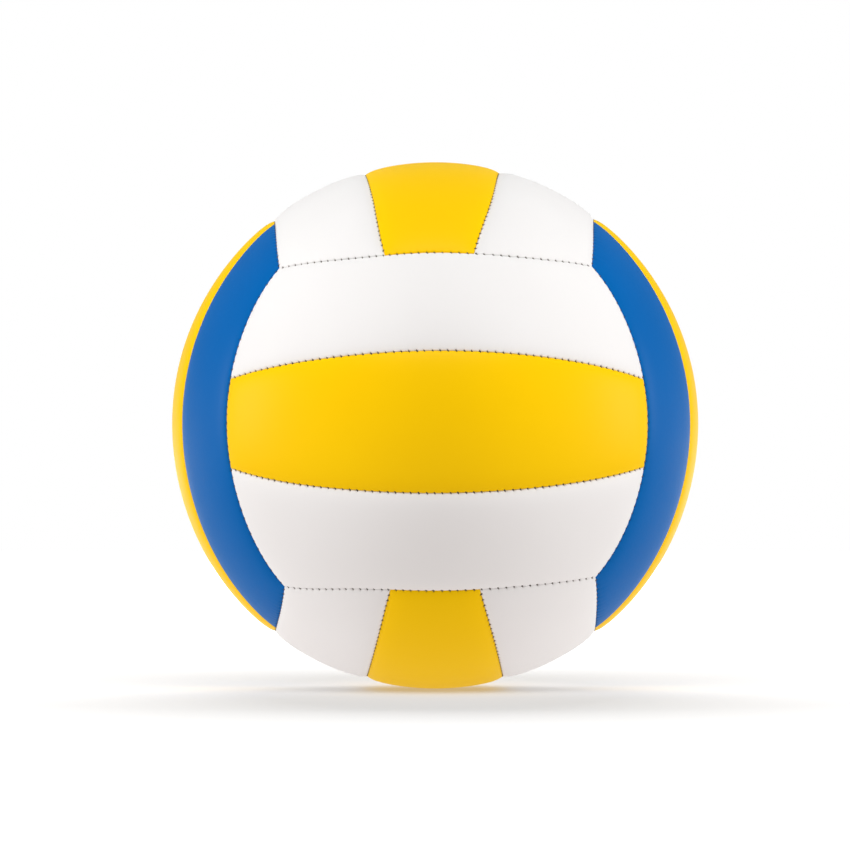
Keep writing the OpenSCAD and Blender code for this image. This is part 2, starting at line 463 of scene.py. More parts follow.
@dataclass(frozen=True)
class Seam:
    """An arc on the ball at a constant angle from an axis through the ball's centre.

    A place near the seam is given by its distance along the arc from the seam's middle, and its
    distance across the arc, which grows away from the axis.
    """

    axis: np.ndarray
    middle: np.ndarray
    cone: float
    ball_r: float

    @property
    def forward(self) -> np.ndarray:
        """Unit vector square to the axis, towards the seam's middle."""
        square = self.middle - (self.middle @ self.axis) * self.axis
        return square / np.linalg.norm(square)

    @property
    def sideways(self) -> np.ndarray:
        """Unit vector square to the axis and to forward."""
        return np.cross(self.axis, self.forward)

    @property
    def arc_r(self) -> float:
        """Radius of the arc."""
        return self.ball_r * math.sin(self.cone)

    def along(self, directions: np.ndarray) -> np.ndarray:
        """Distance along the arc for each direction from the ball's centre."""
        return np.arctan2(directions @ self.sideways, directions @ self.forward) * self.arc_r

    def across(self, directions: np.ndarray) -> np.ndarray:
        """Distance across the arc for each direction from the ball's centre."""
        return (np.arccos(np.clip(directions @ self.axis, -1, 1)) - self.cone) * self.ball_r

    def at(self, along: np.ndarray, across: float | np.ndarray) -> np.ndarray:
        """Directions from the ball's centre to places near the seam.

        Args:
            along: Distances along the arc.
            across: Distance across the arc, one for all places or one for each.

        Returns:
            One unit vector for each place.
        """
        turn = np.atleast_1d(along)[:, None] / self.arc_r
        tilt = np.broadcast_to(self.cone + np.asarray(across) / self.ball_r, turn[:, 0].shape)[:, None]
        flat = np.cos(turn) * self.forward + np.sin(turn) * self.sideways
        return np.cos(tilt) * self.axis + np.sin(tilt) * flat

    def away(self, directions: np.ndarray) -> np.ndarray:
        """Unit vectors along the ball's surface, square to the seam and away from its axis."""
        slope = (directions @ self.axis)[:, None] * directions - self.axis
        return slope / np.linalg.norm(slope, axis=1, keepdims=True)


@dataclass(frozen=True)
class Side:
    """One side of a panel: a seam, and on which side of it the panel lies."""

    seam: Seam
    keep: int

    def inset(self, directions: np.ndarray) -> np.ndarray:
        """Distance of each direction from the seam, into the panel."""
        return -self.keep * self.seam.across(directions)

    def at(self, along: np.ndarray, inset: float) -> np.ndarray:
        """Directions at distances along the seam and one distance into the panel."""
        return self.seam.at(along, -self.keep * inset)

    def cosine(self, inset: float) -> float:
        """Cosine of the angle from the seam's axis, at a distance into the panel."""
        return math.cos(self.seam.cone - self.keep * inset / self.seam.ball_r)


def crossing(first: Side, second: Side, inset: float, towards: np.ndarray) -> np.ndarray:
    """Finds where two sides of a panel cross when both are moved into the panel.

    Args:
        first: One side.
        second: The other side.
        inset: How far both are moved.
        towards: Picks the crossing that lies this way, since two arcs cross twice.

    Returns:
        The direction of the crossing.
    """
    a, b = first.seam.axis, second.seam.axis
    lean = a @ b
    cos_a, cos_b = first.cosine(inset), second.cosine(inset)
    base = ((cos_a - cos_b * lean) * a + (cos_b - cos_a * lean) * b) / (1 - lean**2)
    square = np.cross(a, b)
    rise = math.sqrt((1 - base @ base) / (square @ square)) * square
    return base + rise if rise @ towards > 0 else base - rise


@dataclass(frozen=True)
class Stitching:
    """Sizes of the stitches that close every seam, and how unevenly they were sewn."""

    pitch: float = 3.05 * MM
    clear_end: float = 1.6 * MM
    hole_half_width: float = 0.25 * MM
    hole_reach: float = 0.62 * MM
    hole_depth: float = 0.5 * MM
    hole_open: float = 0.15 * MM
    slant: float = 0.5
    pucker_depth: float = 0.09 * MM
    pucker_half_width: float = 0.7 * MM
    pucker_reach: float = 2.4 * MM
    thread_d: float = 0.5 * MM
    thread_run: float = 1.5 * MM
    thread_depth: float = 1.5 * MM
    seed: int = 3
    stray: float = 0.16 * MM
    least_pull: float = 0.4

    def even_places(self, half_length: float) -> np.ndarray:
        """Evenly spaced places along a seam, as distances from its middle."""
        count = int(2 * (half_length - self.clear_end) / self.pitch) + 1
        return (np.arange(count) - (count - 1) / 2) * self.pitch

    def places(self, half_length: float) -> np.ndarray:
        """Places of the stitches along a seam, each a little off its even place."""
        even = self.even_places(half_length)
        return even + np.random.default_rng(self.seed).uniform(-self.stray, self.stray, len(even))

    def pulls(self, half_length: float) -> np.ndarray:
        """How hard each stitch of a seam was pulled, up to 1."""
        count = len(self.even_places(half_length))
        return np.random.default_rng(self.seed + 1).uniform(self.least_pull, 1.0, count)

    def nearest(self, along: np.ndarray, half_length: float) -> np.ndarray:
        """Number of the stitch that is nearest to each place along a seam."""
        even = self.even_places(half_length)
        return np.clip(np.rint((along - even[0]) / self.pitch), 0, len(even) - 1).astype(int)


@dataclass(frozen=True)
class Pattern:
    """The pattern of panels, with the same angles as the model's own."""

    ball_r: float
    strip_angle: float = math.radians(15.2)
    face_angle: float = math.radians(37.9)

    @property
    def corner_share(self) -> float:
        """Share of each axis in the direction of a cube corner."""
        return 1 / math.sqrt(3)

    @property
    def lean(self) -> float:
        """Lean of a face edge's axis from the across direction of the face."""
        return math.atan2(
            math.sin(self.face_angle) - self.corner_share, math.cos(self.face_angle) - self.corner_share
        )

    @property
    def edge_cone(self) -> float:
        """Angle of a face edge from its axis."""
        return math.acos(self.corner_share * (math.cos(self.lean) - math.sin(self.lean)))

    def strip_seam(self, sign: int) -> Seam:
        """The seam between the middle strip and a side strip.

        Args:
            sign: 1 for the side strip at +Y, -1 for the one at -Y.

        Returns:
            The seam, which lies in a plane through the ball's centre.
        """
        sine, cosine = math.sin(self.strip_angle), math.cos(self.strip_angle)
        axis, middle = np.array((0, sign * cosine, -sine)), np.array((0, sign * sine, cosine))
        return Seam(axis, middle, math.pi / 2, self.ball_r)

    def long_edge(self) -> Seam:
        """The seam along the outer side of the +Y side strip.

        Returns:
            The seam between this face and the next one at +Y.
        """
        return Seam(
            np.array((0, math.cos(self.lean), -math.sin(self.lean))),
            np.array((0, math.sin(self.face_angle), math.cos(self.face_angle))),
            self.edge_cone, self.ball_r,
        )

    def end_edge(self, sign: int) -> Seam:
        """The seam across the strips' ends, which is a long edge of the next face.

        Args:
            sign: 1 for the ends at +X, -1 for those at -X.

        Returns:
            The seam between this face and the next one at +X or -X.
        """
        return Seam(
            np.array((-sign * math.sin(self.lean), 0, math.cos(self.lean))),
            np.array((sign * math.cos(self.face_angle), 0, math.sin(self.face_angle))),
            self.edge_cone, self.ball_r,
        )

    def sides(self, strip: Strip) -> tuple[Side, Side, Side, Side]:
        """The sides of a strip, anticlockwise as seen from outside.

        Args:
            strip: Which kind of strip.

        Returns:
            The lower side, the +X end, the upper side and the -X end.
        """
        right, left = Side(self.end_edge(1), 1), Side(self.end_edge(-1), 1)
        if strip is Strip.MIDDLE:
            return Side(self.strip_seam(-1), -1), right, Side(self.strip_seam(1), -1), left
        return Side(self.strip_seam(1), 1), right, Side(self.long_edge(), -1), left

    def half_length(self, seam: Seam) -> float:
        """Half the length of a seam.

        Args:
            seam: A seam of this pattern.

        Returns:
            Distance from the seam's middle to where it meets the next face's seams.
        """
        lower, right, upper, _ = self.sides(Strip.SIDE)
        is_strip_seam = seam.cone == lower.seam.cone
        start = lower if is_strip_seam else upper
        corner = crossing(start, right, 0.0, np.array((1.0, 0.0, 0.0)))
        return abs(float(start.seam.along(corner[None, :])[0]))


@dataclass(frozen=True)
class Outline:
    """The outline of a strip, and loops that run round it at any distance inside it.

    On both sides of each stitch, a loop has extra columns at the distances in cluster.
    """

    pattern: Pattern
    stitching: Stitching
    strip: Strip
    cluster: tuple[float, ...] = (0.13 * MM, 0.28 * MM, 0.5 * MM)
    cluster_room_share: float = 2.4
    corner_slide: float = 6 * MM
    slide_growth: float = 1.5
    min_gap: float = 0.5 * MM

    @property
    def sides(self) -> tuple[Side, Side, Side, Side]:
        """The four sides of the strip."""
        return self.pattern.sides(self.strip)

    def corners(self, inset: float) -> list[np.ndarray]:
        """The four corners at a distance inside the outline.

        Args:
            inset: The distance.

        Returns:
            One unit vector for each corner, where corner i starts side i.
        """
        sides = self.sides
        towards = [np.array((sign, 0.0, 0.0)) for sign in (-1, 1, 1, -1)]
        return [crossing(sides[i - 1], sides[i], inset, towards[i]) for i in range(4)]

    def ends(self, index: int, inset: float) -> tuple[float, float]:
        """Where a side starts and ends along its seam, at a distance inside the outline.

        Args:
            index: The side's number.
            inset: The distance.

        Returns:
            Distances from the seam's middle.
        """
        corners = self.corners(inset)
        seam = self.sides[index].seam
        start, end = seam.along(np.array((corners[index], corners[(index + 1) % 4])))
        return float(start), float(end)

    def columns(self, index: int, detail: Detail) -> np.ndarray:
        """Places along a side where the loops have a column, close together at each stitch.

        Args:
            index: The side's number.
            detail: How many of the columns to keep.

        Returns:
            Distances along the side's seam, with both ends.
        """
        start, end = self.ends(index, 0.0)
        seam = self.sides[index].seam
        stitches = self.stitching.places(self.pattern.half_length(seam))
        low, high = min(start, end) + self.min_gap, max(start, end) - self.min_gap
        inner = stitches[(stitches > low) & (stitches < high)]
        anchors = np.concatenate(((start,), inner if end > start else inner[::-1], (end,)))
        made: list[float] = []
        widest = self.cluster_room_share * self.cluster[-1]
        for here, there in zip(anchors, anchors[1:]):
            gap = there - here
            steps = np.array(self.cluster) * math.copysign(min(1.0, abs(gap) / widest), gap)
            made += [here, *(here + steps), (here + there) / 2, *(there - steps[::-1])]
        return np.array([*made[::detail.value], anchors[-1]])

    def chain(self, index: int, inset: float, columns: np.ndarray) -> np.ndarray:
        """Directions along one side of a loop inside the outline.

        Args:
            index: The side's number.
            inset: Distance of the loop inside the outline.
            columns: Places along the side, from its start to its end.

        Returns:
            One unit vector for each column. Columns near a corner slide to meet the next side.
        """
        (start, end), (new_start, new_end) = self.ends(index, 0.0), self.ends(index, inset)
        reach = self.corner_slide + self.slide_growth * inset
        near_start = np.clip(1 - np.abs(columns - start) / reach, 0, 1)
        near_end = np.clip(1 - np.abs(columns - end) / reach, 0, 1)
        placed = columns + (new_start - start) * near_start + (new_end - end) * near_end
        return self.sides[index].at(placed, inset)

    def loop(self, inset: float, detail: Detail) -> list[np.ndarray]:
        """The four chains of a loop at a distance inside the outline."""
        return [self.chain(i, inset, self.columns(i, detail)) for i in range(4)]

    def even_loop(self, inset: float, counts: tuple[int, int]) -> list[np.ndarray]:
        """The four chains of a loop whose columns are evenly spaced.

        Args:
            inset: Distance of the loop inside the outline.
            counts: Spans along the strip and across it.

        Returns:
            Directions along each side.
        """
        return [
            self.chain(i, inset, np.linspace(*self.ends(i, 0.0), counts[i % 2] + 1)) for i in range(4)
        ]

    def patch(self, inset: float, counts: tuple[int, int]) -> np.ndarray:
        """Fills a loop with a grid of directions, blended from its four sides.

        Args:
            inset: Distance of the loop inside the outline.
            counts: Spans along the strip and across it.

        Returns:
            An array of unit vectors, by place across and place along.
        """
        low, right, high, left = self.even_loop(inset, counts)
        high, left = high[::-1], left[::-1]
        s = np.linspace(0, 1, counts[0] + 1)[None, :, None]
        t = np.linspace(0, 1, counts[1] + 1)[:, None, None]
        rows = (1 - t) * low[None] + t * high[None] + (1 - s) * left[:, None] + s * right[:, None]
        lower, upper = (1 - s) * low[0] + s * low[-1], (1 - s) * high[0] + s * high[-1]
        filled = rows - (1 - t) * lower - t * upper
        return filled / np.linalg.norm(filled, axis=2, keepdims=True)


# Unevenness shared by all pieces of the cover


@dataclass(frozen=True)
class Drift:
    """A place where the seams were sewn a little off the pattern, as seen from the front.

    The place is in shares of the ball's radius, to the right and up, and the shift is in metres.
    """

    place: tuple[float, float]
    shift: tuple[float, float]
    reach: float = 0.3

    def push(self, directions: np.ndarray) -> np.ndarray:
        """The shift of each direction from the ball's centre, along the ball's surface.

        Args:
            directions: Unit vectors.

        Returns:
            One shift for each, in metres.
        """
        right, up = self.place
        centre = np.array((right, -math.sqrt(1 - right**2 - up**2), up))
        inward = (self.shift[0] * right + self.shift[1] * up) / -centre[1]
        shift = np.array((self.shift[0], inward, self.shift[1]))
        angles = np.arccos(np.clip(directions @ centre, -1, 1))
        return np.exp(-((angles / self.reach) ** 2))[:, None] * shift


@dataclass(frozen=True)
class HandOfTheSewer:
    """The small wander of the seams and the slow swell of the panels on a real sewn ball.

    It depends only on the direction from the ball's centre, so panels that share a seam still meet.
    It fades out round the valve, which sits where the model has it.
    """

    drifts: tuple[Drift, ...] = (
        Drift((0.0, 0.64), (-3.9 * MM, 1.8 * MM)),
        Drift((0.0, -0.62), (-1.6 * MM, -1.2 * MM)),
        Drift((-0.58, 0.60), (-1.4 * MM, 0.8 * MM)),
        Drift((0.59, 0.60), (1.2 * MM, 1.2 * MM)),
        Drift((-0.58, -0.58), (0.2 * MM, -3.6 * MM)),
        Drift((0.60, -0.58), (2.0 * MM, 0.0)),
        Drift((0.25, 0.93), (-2.1 * MM, 0.3 * MM), 0.45),
    )
    seed: int = 7
    waves: int = 6
    wave_rate: float = 3.0
    drift: float = 0.45 * MM
    swell: float = 0.1 * MM
    swell_rate_share: float = 1.7
    swell_phase_share: float = 2.0
    valve_fade: float = 0.06

    def moved(self, points: np.ndarray) -> np.ndarray:
        """Moves points on the ball by the wander and the swell of their direction.

        Args:
            points: Points in metres.

        Returns:
            The moved points.
        """
        draw = np.random.default_rng(self.seed)
        radii = np.linalg.norm(points, axis=1, keepdims=True)
        directions = points / radii
        fade = np.clip((1 - directions[:, 1]) / self.valve_fade, 0, 1)[:, None]
        offset = sum((drift.push(directions) for drift in self.drifts), np.zeros_like(points))
        swell = np.zeros_like(radii)
        share = 1 / math.sqrt(self.waves)
        for _ in range(self.waves):
            wave = draw.normal(size=3) * self.wave_rate
            phase = draw.uniform(0, math.tau)
            push = draw.normal(size=3)
            place = directions @ wave
            offset += np.sin(place + phase)[:, None] * push * self.drift * share
            angle = self.swell_rate_share * place + self.swell_phase_share * phase
            swell += np.sin(angle)[:, None] * self.swell * share
        offset -= (offset * directions).sum(axis=1, keepdims=True) * directions
        shifted = points + fade * offset
        shifted *= (radii + fade * swell) / np.linalg.norm(shifted, axis=1, keepdims=True)
        return shifted


# Mesh helpers

Ring = list[list[bmesh.types.BMVert]]
Grid = list[list[bmesh.types.BMVert]]
SORT_DIGITS = 6


def add_ring(bm: bmesh.types.BMesh, chains: list[np.ndarray], radius: float) -> Ring:
    """Adds a closed loop of vertices at one radius.

    Args:
        bm: The mesh that takes the loop.
        chains: Directions along the loop's parts, each of which starts where the last one ends.
        radius: Distance from the ball's centre.

    Returns:
        The loop's vertices, part by part, with both ends of each part.
    """
    points = np.concatenate([chain[:-1] for chain in chains]) * radius
    made = bmesh.ops.create_circle(bm, segments=len(points), radius=radius)["verts"]
    for vertex, point in zip(made, points):
        vertex.co = point
    ring, start = [], 0
    for chain in chains:
        ring.append([made[(start + i) % len(made)] for i in range(len(chain))])
        start += len(chain) - 1
    return ring


def bridge(bm: bmesh.types.BMesh, first: Ring, second: Ring) -> None:
    """Joins two rings with faces, part by part.

    Args:
        bm: The mesh of both rings.
        first: One ring.
        second: The other ring, with as many parts.
    """
    for one, other in zip(first, second):
        edges = [bm.edges.get(pair) for part in (one, other) for pair in zip(part, part[1:])]
        bmesh.ops.bridge_loops(bm, edges=edges)


def add_patch(bm: bmesh.types.BMesh, directions: np.ndarray, radius: float) -> Grid:
    """Adds a curved grid at one radius.

    Args:
        bm: The mesh that takes the grid.
        directions: Unit vectors, by place across and place along.
        radius: Distance from the ball's centre.

    Returns:
        The grid's vertices, row by row.
    """
    across, along = directions.shape[:2]
    made = bmesh.ops.create_grid(bm, x_segments=along - 1, y_segments=across - 1, size=1.0)["verts"]
    made.sort(key=lambda v: (round(v.co.y, SORT_DIGITS), round(v.co.x, SORT_DIGITS)))
    for vertex, point in zip(made, directions.reshape(-1, 3) * radius):
        vertex.co = point
    return [made[i * along:(i + 1) * along] for i in range(across)]


def rim_of(grid: Grid) -> Ring:
    """The rim of a grid as a ring, anticlockwise from its first vertex."""
    return [grid[0], [row[-1] for row in grid], grid[-1][::-1], [row[0] for row in grid][::-1]]


def open_block(bm: bmesh.types.BMesh, grid: Grid, half: int) -> Ring:
    """Deletes the faces in the middle of a grid.

    Args:
        bm: The mesh of the grid.
        grid: The grid's vertices.
        half: Half the number of spans of the opening.

    Returns:
        The rim of the opening.
    """
    row, column = len(grid) // 2, len(grid[0]) // 2
    block = [line[column - half:column + half + 1] for line in grid[row - half:row + half + 1]]
    inside = {vertex for line in block for vertex in line}
    faces = [face for face in bm.faces if all(vertex in inside for vertex in face.verts)]
    bmesh.ops.delete(bm, geom=faces, context="FACES")
    return rim_of(block)


def mesh_object(name: str, bm: bmesh.types.BMesh) -> bpy.types.Object:
    """Turns a bmesh into a smooth-shaded object with its faces outward, and frees the bmesh.

    Args:
        name: The name of the object and its mesh.
        bm: The bmesh.

    Returns:
        The object, in the scene.
    """
    bmesh.ops.recalc_face_normals(bm, faces=bm.faces[:])
    mesh = bpy.data.meshes.new(name)
    bm.to_mesh(mesh)
    bm.free()
    mesh.shade_smooth()
    made = bpy.data.objects.new(name, mesh)
    bpy.context.scene.collection.objects.link(made)
    return made


def points_of(mesh: bpy.types.Mesh) -> np.ndarray:
    """Reads the vertices of a mesh.

    Args:
        mesh: The mesh.

    Returns:
        One row for each vertex, in metres.
    """
    flat = np.empty(len(mesh.vertices) * 3, np.float32)
    mesh.vertices.foreach_get("co", flat)
    return flat.reshape(-1, 3).astype(float)


def set_points(mesh: bpy.types.Mesh, points: np.ndarray) -> None:
    """Moves the vertices of a mesh."""
    mesh.vertices.foreach_set("co", points.astype(np.float32).ravel())
    mesh.update()


# Sub-assemblies

LOW_STRIP, MIDDLE_STRIP, HIGH_STRIP = range(3)
VALVE_STRIP = "back_middle"
HALF_TURN = np.diag((-1.0, -1.0, 1.0))


@dataclass(frozen=True)
class Face:
    """A face of the ball, with the names of its strips from -Y to +Y.

    Its turn is what takes the +Z face to it, in degrees round X, Y and Z.
    """

    name: str
    turn: tuple[float, float, float]
    strips: tuple[str, str, str]
    side_slot: str = "white_leather"

    def matrix(self, index: int) -> np.ndarray:
        """The turn of one strip from the +Z face to its place on the ball.

        Args:
            index: The strip's number on the face, from -Y to +Y.

        Returns:
            A rotation matrix.
        """
        angles = [math.radians(a) for a in self.turn]
        turn = np.array(Euler(angles, "XYZ").to_matrix())
        return turn @ HALF_TURN if index == LOW_STRIP else turn

    def node(self, index: int, layer: Layer) -> str:
        """The name of the model's node for one layer of one strip."""
        return f"{self.name}_{self.strips[index]}_{layer.value}"

    def is_valve_strip(self, index: int) -> bool:
        """Whether the valve comes out of this strip."""
        return f"{self.name}_{self.strips[index]}" == VALVE_STRIP


FACES = (
    Face("front", (90, 0, 0), ("lower", "middle", "upper")),
    Face("back", (-90, 0, 0), ("upper", "middle", "lower")),
    Face("top", (0, 0, 90), ("right", "middle", "left")),
    Face("bottom", (180, 0, 90), ("left", "middle", "right")),
    Face("left", (0, -90, 0), ("front", "middle", "back"), "blue_leather"),
    Face("right", (0, 90, 0), ("front", "middle", "back"), "blue_leather"),
)
LAYER_WORDS = {Layer.PANEL: "skin", Layer.FOAM: "pad", Layer.LINING: "sheet"}


@dataclass(frozen=True)
class CoverSizes:
    """Thicknesses and rounds of the cover, from the crown of a panel inwards."""

    skin_t: float = 0.8 * MM
    foam_t: float = 1.8 * MM
    lining_t: float = 0.4 * MM
    glue_t: float = 0.05 * MM
    half_gap: float = 0.02 * MM
    roll_r: float = 0.4 * MM
    foam_round: float = 0.5 * MM
    hem_w: float = 3.6 * MM
    edge_dip: float = 1.0 * MM
    edge_reach: float = 2.5 * MM
    pillow_dip: float = 0.3 * MM
    pillow_reach: float = 6 * MM
    valve_hole_r: float = 4.15 * MM
    hole_lip: float = 0.25 * MM
    hole_lip_share: float = 1 / 3
    hole_lip_room: float = 4.0
    bend_share: float = 0.35
    round_middle_share: float = 0.3

    @property
    def foam_top(self) -> float:
        """Depth of the foam's top under the crown."""
        return self.skin_t + self.glue_t

    @property
    def foam_back(self) -> float:
        """Depth of the foam's back under the crown."""
        return self.foam_top + self.foam_t

    @property
    def hem_top(self) -> float:
        """Depth of the side of the hem that is glued to the foam."""
        return self.foam_back + self.glue_t

    @property
    def back(self) -> float:
        """Depth of the cover's back under the crown."""
        return self.hem_top + self.skin_t


@dataclass(frozen=True)
class Row:
    """A loop round a strip: its distance inside the outline, its depth and its columns."""

    inset: float
    depth: float
    detail: Detail = Detail.QUARTER


@dataclass
class StripLayer:
    """One closed layer of a strip: a patch outside, loops round its edge and a patch inside."""

    outline: Outline
    sizes: CoverSizes
    has_valve_hole: bool
    patch_step: int = 1
    hole_block: int = 5

    @property
    def crown_r(self) -> float:
        """Radius over the crowns of the panels."""
        return self.outline.pattern.ball_r

    def rows(self) -> list[Row]:
        """The loops of this layer, from the outer patch to the inner one."""
        raise NotImplementedError

    def patches(self) -> tuple[Row, Row]:
        """Where the outer and the inner patch start."""
        raise NotImplementedError

    def counts(self) -> tuple[int, int]:
        """Numbers of spans of a patch, both even so that it has a middle.

        Returns:
            Spans along the strip and across it.
        """
        spans = [len(self.outline.columns(i, Detail.QUARTER)) - 1 for i in range(4)]
        step = 1 if self.has_valve_hole else self.patch_step
        along = round((spans[0] + spans[2]) / 4 / step)
        across = round((spans[1] + spans[3]) / 4 / step)
        return 2 * along, 2 * across

    def build(self, name: str) -> bpy.types.Object:
        """Builds the layer on the +Z face, before the stitches pull it in.

        Args:
            name: The object's name.

        Returns:
            The layer as a closed mesh.
        """
        bm = bmesh.new()
        outer, inner = self.patches()
        outer_grid, inner_grid = self._patch(bm, outer), self._patch(bm, inner)
        loops = [
            add_ring(bm, self.outline.loop(row.inset, row.detail), self.crown_r - row.depth)
            for row in self.rows()
        ]
        rings = [rim_of(outer_grid), *loops, rim_of(inner_grid)]
        for first, second in zip(rings, rings[1:]):
            bridge(bm, first, second)
        if self.has_valve_hole:
            self._punch(bm, (outer_grid, inner_grid), (outer.depth, inner.depth))
        return mesh_object(name, bm)

    def _patch(self, bm: bmesh.types.BMesh, row: Row) -> Grid:
        """Adds the patch that starts at a row."""
        return add_patch(bm, self.outline.patch(row.inset, self.counts()), self.crown_r - row.depth)

    def _punch(
        self, bm: bmesh.types.BMesh, grids: tuple[Grid, Grid], depths: tuple[float, float]
    ) -> None:
        """Opens the valve's hole in the middle of both patches and joins them through it.

        Args:
            bm: The layer's mesh.
            grids: Vertices of the outer and the inner patch.
            depths: Depths of the outer and the inner patch.
        """
        radius, (top, bottom) = self.sizes.valve_hole_r, depths
        lip = min(self.sizes.hole_lip, self.sizes.hole_lip_share * (bottom - top))
        middle = self.sizes.round_middle_share * lip
        rows = [
            (radius + self.sizes.hole_lip_room * lip, top),
            (radius + lip, top),
            (radius + middle, top + middle),
            (radius, top + lip),
            (radius, bottom - lip),
            (radius + lip, bottom),
        ]
        circles = [add_ring(bm, self._circle(r), self.crown_r - depth) for r, depth in rows]
        outer_rim, inner_rim = (open_block(bm, grid, self.hole_block) for grid in grids)
        rings = [outer_rim, *circles, inner_rim]
        for first, second in zip(rings, rings[1:]):
            bridge(bm, first, second)

    def _circle(self, radius: float) -> list[np.ndarray]:
        """Directions round the valve.

        Args:
            radius: Radius of the circle in metres.

        Returns:
            Four parts, each of which starts at a corner of the opened block.
        """
        quarter_turn, first_corner = math.pi / 2, 5 * math.pi / 4
        parts = []
        for quarter in range(4):
            start = first_corner + quarter * quarter_turn
            turn = start + np.linspace(0, quarter_turn, 2 * self.hole_block + 1)
            flat = radius / self.crown_r * np.stack((np.cos(turn), np.sin(turn)), axis=1)
            parts.append(np.column_stack((flat, np.sqrt(1 - (flat**2).sum(axis=1)))))
        return parts

    def settle(self, points: np.ndarray) -> tuple[np.ndarray, np.ndarray]:
        """Pulls the layer in at its seams and stitches.

        Args:
            points: Vertices of the layer on the +Z face.

        Returns:
            The moved vertices, and how far each is inside a stitch hole, from 0 to 1.
        """
        sizes, stitching = self.sizes, self.outline.stitching
        radii = np.linalg.norm(points, axis=1)
        directions = points / radii[:, None]
        depth = self.crown_r - radii
        give = np.clip((sizes.back - depth) / (sizes.back - sizes.roll_r), 0, 1)
        edge_level, pillow_level = np.ones(len(points)), np.ones(len(points))
        pull, pucker, push = np.zeros(len(points)), np.zeros(len(points)), np.zeros_like(points)
        for side in self.outline.sides:
            inset, along = side.inset(directions), side.seam.along(directions)
            half_length = self.outline.pattern.half_length(side.seam)
            number = stitching.nearest(along, half_length)
            off = along - stitching.places(half_length)[number]
            slanted = (off - stitching.slant * side.seam.across(directions)) / stitching.hole_half_width
            hole = np.clip(1 - (inset / stitching.hole_reach) ** 2, 0, 1) * np.exp(-(slanted**2))
            strength = stitching.pulls(half_length)[number]
            hole *= strength
            pull = np.maximum(pull, hole)
            aside = (off / stitching.pucker_half_width) ** 2
            fold = np.exp(-aside - np.maximum(inset, 0) / stitching.pucker_reach)
            pucker = np.maximum(pucker, fold * strength)
            push -= side.seam.away(directions) * (side.keep * stitching.hole_open * hole)[:, None]
            edge_level *= 1 - np.exp(-np.maximum(inset, 0) / sizes.edge_reach)
            pillow_level *= 1 - np.exp(-np.maximum(inset, 0) / sizes.pillow_reach)
        dip = sizes.edge_dip * (1 - edge_level) + sizes.pillow_dip * (1 - pillow_level)
        radii = radii - give * (dip + stitching.hole_depth * pull + stitching.pucker_depth * pucker)
        moved = directions + give[:, None] * push / self.crown_r
        moved *= (radii / np.linalg.norm(moved, axis=1))[:, None]
        return moved, pull * give


@dataclass
class LeatherSkin(StripLayer):
    """The leather of a panel, rolled over its edges and hemmed under the foam."""

    # The attribute is the stitch-hole mask, which drives the painted shade in the leather.
    SHADE_NAME = "stitch_hole_shade"

    roll_angles: tuple[float, ...] = (90, 72, 54, 36, 18, 0)
    near_insets: tuple[float, ...] = (2.8 * MM, 2.1 * MM, 1.6 * MM, 1.2 * MM, 0.8 * MM)
    half_insets: tuple[float, ...] = (4.9 * MM, 3.7 * MM)
    quarter_insets: tuple[float, ...] = (7.9 * MM, 6.3 * MM)
    patch_inset: float = 9.6 * MM
    back_inset: float = 7 * MM

    def rows(self) -> list[Row]:
        """The loops over the leather's edge.

        Returns:
            The crown's edge, the roll, the wall, the hem and the inner side of the wall.
        """
        sizes = self.sizes
        wall, roll_r = sizes.half_gap, sizes.roll_r
        inner_wall = wall + sizes.skin_t
        bend = sizes.bend_share * sizes.skin_t
        made = [Row(e, 0.0) for e in self.quarter_insets]
        made += [Row(e, 0.0, Detail.HALF) for e in self.half_insets]
        made += [Row(e, 0.0, Detail.FINE) for e in self.near_insets]
        for angle in (math.radians(a) for a in self.roll_angles):
            inset, depth = wall + roll_r * (1 - math.cos(angle)), roll_r * (1 - math.sin(angle))
            made.append(Row(inset, depth, Detail.FINE))
        return made + [
            Row(wall, roll_r + bend, Detail.HALF),
            Row(wall, sizes.back - bend),
            Row(wall + bend, sizes.back),
            Row(sizes.hem_w, sizes.back),
            Row(sizes.hem_w, sizes.hem_top),
            Row(inner_wall, sizes.hem_top),
            Row(inner_wall, sizes.foam_top + sizes.foam_round),
            Row(inner_wall + sizes.foam_round, sizes.skin_t),
        ]

    def patches(self) -> tuple[Row, Row]:
        """The crown's patch and the patch of its underside."""
        return Row(self.patch_inset, 0.0), Row(self.back_inset, self.sizes.skin_t)


@dataclass
class FoamPad(StripLayer):
    """The pad of sponge foam that fills a panel, with rounded edges."""

    patch_step: int = 2
    patch_inset: float = 6 * MM

    def rows(self) -> list[Row]:
        """The edge of the foam, inside the skin's wall.

        Returns:
            The round at the top, the wall and the round at the back.
        """
        sizes, soft = self.sizes, self.sizes.foam_round
        side = sizes.half_gap + sizes.skin_t + sizes.glue_t
        middle = sizes.round_middle_share * soft
        return [
            Row(side + 2 * soft, sizes.foam_top),
            Row(side + soft, sizes.foam_top),
            Row(side + middle, sizes.foam_top + middle),
            Row(side, sizes.foam_top + soft),
            Row(side, sizes.foam_back - soft),
            Row(side + middle, sizes.foam_back - middle),
            Row(side + soft, sizes.foam_back),
        ]

    def patches(self) -> tuple[Row, Row]:
        """The top and the back of the foam."""
        return Row(self.patch_inset, self.sizes.foam_top), Row(self.patch_inset, self.sizes.foam_back)


